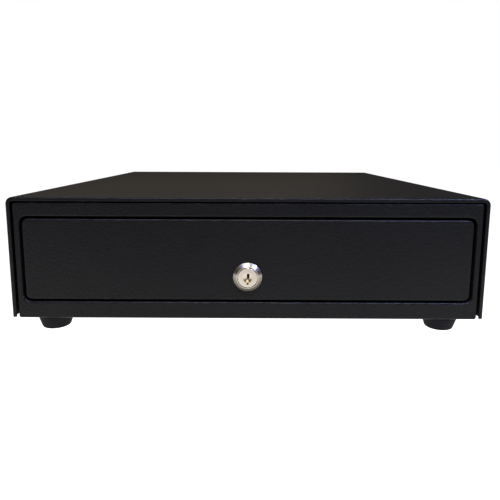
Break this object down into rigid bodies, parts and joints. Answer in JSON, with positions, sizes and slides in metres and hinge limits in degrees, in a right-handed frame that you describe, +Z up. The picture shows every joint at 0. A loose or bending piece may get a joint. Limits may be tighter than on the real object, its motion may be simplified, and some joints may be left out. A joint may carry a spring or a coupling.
{
  "type": "cash drawer",
  "caption": "Black steel cash drawer with a keyed lock, a roller slide, a till with bill clips and coin cups, and an electric release.",
  "frame": {"origin": "on the floor under the middle of the case, between the four feet", "axes": "+X to the right of someone facing the drawer, -Y out of the front, +Z up"},
  "size_m": [0.41, 0.4205, 0.1195],
  "materials": {
    "black_steel": "textured black powder coat",
    "zinc_steel": "zinc plated",
    "chrome": "nickel and chrome plated, polished",
    "brass": "plain brass",
    "rubber": "matt moulded",
    "black_plastic": "moulded, fine texture",
    "white_nylon": "moulded nylon",
    "copper_coil": "enamelled wire on a bobbin",
    "spring_steel": "spring steel"
  },
  "bodies": {
    "case": {"case_cover": "black_steel", "base_plate": "black_steel", "front_frame": "black_steel", "rear_panel": "black_steel", "rear_screw_1": "zinc_steel", "rear_screw_2": "zinc_steel", "rear_screw_3": "zinc_steel", "rear_screw_4": "zinc_steel", "foot_front_left": "rubber", "foot_front_right": "rubber", "foot_rear_left": "rubber", "foot_rear_right": "rubber", "foot_screw_front_left": "zinc_steel", "foot_screw_front_right": "zinc_steel", "foot_screw_rear_left": "zinc_steel", "foot_screw_rear_right": "zinc_steel", "case_rail_left": "zinc_steel", "case_rail_right": "zinc_steel", "case_guide_left": "zinc_steel", "case_guide_right": "zinc_steel", "latch_bracket": "zinc_steel", "latch_pin": "zinc_steel", "latch_spring": "spring_steel", "solenoid_yoke": "zinc_steel", "solenoid_coil": "copper_coil", "microswitch": "black_plastic", "data_socket": "black_plastic", "wiring_loom": "black_plastic", "ejector_spring": "spring_steel"},
    "drawer": {"drawer_front": "black_steel", "drawer_box": "black_steel", "drawer_rail_left": "zinc_steel", "drawer_rail_right": "zinc_steel", "drawer_roller_pin_left": "zinc_steel", "drawer_roller_pin_right": "zinc_steel", "striker": "zinc_steel", "lock_barrel": "chrome", "lock_nut": "brass", "till_tray": "black_plastic", "coin_tray": "black_plastic", "bill_divider_1": "black_plastic", "bill_divider_2": "black_plastic", "bill_divider_3": "black_plastic", "bill_divider_4": "black_plastic", "clip_rod": "zinc_steel"},
    "lock": {"lock_plug": "chrome", "lock_cam": "zinc_steel", "cam_nut": "zinc_steel"},
    "latch": {"latch_lever": "zinc_steel"},
    "plunger": {"solenoid_plunger": "zinc_steel"},
    "switch_arm": {"switch_lever": "spring_steel"},
    "case_roller_left": {"case_roller_left": "white_nylon"},
    "case_roller_right": {"case_roller_right": "white_nylon"},
    "drawer_roller_left": {"drawer_roller_left": "white_nylon"},
    "drawer_roller_right": {"drawer_roller_right": "white_nylon"},
    "bill_clip_1": {"bill_clip_1": "spring_steel"},
    "bill_clip_2": {"bill_clip_2": "spring_steel"},
    "bill_clip_3": {"bill_clip_3": "spring_steel"},
    "bill_clip_4": {"bill_clip_4": "spring_steel"},
    "bill_clip_5": {"bill_clip_5": "spring_steel"}
  },
  "joints": [
    {"name": "drawer_slide", "type": "slide", "parent": "case", "child": "drawer", "axis": [0, -1, 0], "range_m": [0, 0.285], "deforming": ["ejector_spring"]},
    {"name": "lock_turn", "type": "hinge", "parent": "drawer", "child": "lock", "pos_m": [0, -0.2065, 0.0512], "axis": [0, 1, 0], "range_deg": [0, 90]},
    {"name": "latch_swing", "type": "hinge", "parent": "case", "child": "latch", "pos_m": [0, 0.169, 0.06], "axis": [1, 0, 0], "range_deg": [0, 22], "deforming": ["latch_spring"]},
    {"name": "plunger_slide", "type": "slide", "parent": "case", "child": "plunger", "axis": [0, 0, 1], "range_m": [0, 0.006]},
    {"name": "switch_arm_swing", "type": "hinge", "parent": "case", "child": "switch_arm", "pos_m": [-0.0108, 0.1563, 0.0472], "axis": [1, 0, 0], "range_deg": [-12.5, 0.5]},
    {"name": "case_roller_left_spin", "type": "hinge", "parent": "case", "child": "case_roller_left", "pos_m": [-0.1895, -0.18, 0.05095], "axis": [1, 0, 0], "continuous": true},
    {"name": "case_roller_right_spin", "type": "hinge", "parent": "case", "child": "case_roller_right", "pos_m": [0.1895, -0.18, 0.05095], "axis": [1, 0, 0], "continuous": true},
    {"name": "drawer_roller_left_spin", "type": "hinge", "parent": "drawer", "child": "drawer_roller_left", "pos_m": [-0.1895, 0.132, 0.05095], "axis": [1, 0, 0], "continuous": true},
    {"name": "drawer_roller_right_spin", "type": "hinge", "parent": "drawer", "child": "drawer_roller_right", "pos_m": [0.1895, 0.132, 0.05095], "axis": [1, 0, 0], "continuous": true},
    {"name": "bill_clip_1_lift", "type": "hinge", "parent": "drawer", "child": "bill_clip_1", "pos_m": [-0.1436, 0.1285, 0.0823], "axis": [-1, 0, 0], "range_deg": [0, 47]},
    {"name": "bill_clip_2_lift", "type": "hinge", "parent": "drawer", "child": "bill_clip_2", "pos_m": [-0.0718, 0.1285, 0.0823], "axis": [-1, 0, 0], "range_deg": [0, 47]},
    {"name": "bill_clip_3_lift", "type": "hinge", "parent": "drawer", "child": "bill_clip_3", "pos_m": [0, 0.1285, 0.0823], "axis": [-1, 0, 0], "range_deg": [0, 47]},
    {"name": "bill_clip_4_lift", "type": "hinge", "parent": "drawer", "child": "bill_clip_4", "pos_m": [0.0718, 0.1285, 0.0823], "axis": [-1, 0, 0], "range_deg": [0, 47]},
    {"name": "bill_clip_5_lift", "type": "hinge", "parent": "drawer", "child": "bill_clip_5", "pos_m": [0.1436, 0.1285, 0.0823], "axis": [-1, 0, 0], "range_deg": [0, 47]}
  ],
  "couplings": [
    {"joint": "plunger_slide", "follows": "latch_swing", "m_per_rad": 0.015},
    {"joint": "switch_arm_swing", "follows": "latch_swing", "ratio": -0.545},
    {"joint": "case_roller_left_spin", "follows": "drawer_slide", "rad_per_m": 125},
    {"joint": "case_roller_right_spin", "follows": "drawer_slide", "rad_per_m": 125},
    {"joint": "drawer_roller_left_spin", "follows": "drawer_slide", "rad_per_m": 125},
    {"joint": "drawer_roller_right_spin", "follows": "drawer_slide", "rad_per_m": 125}
  ]
}
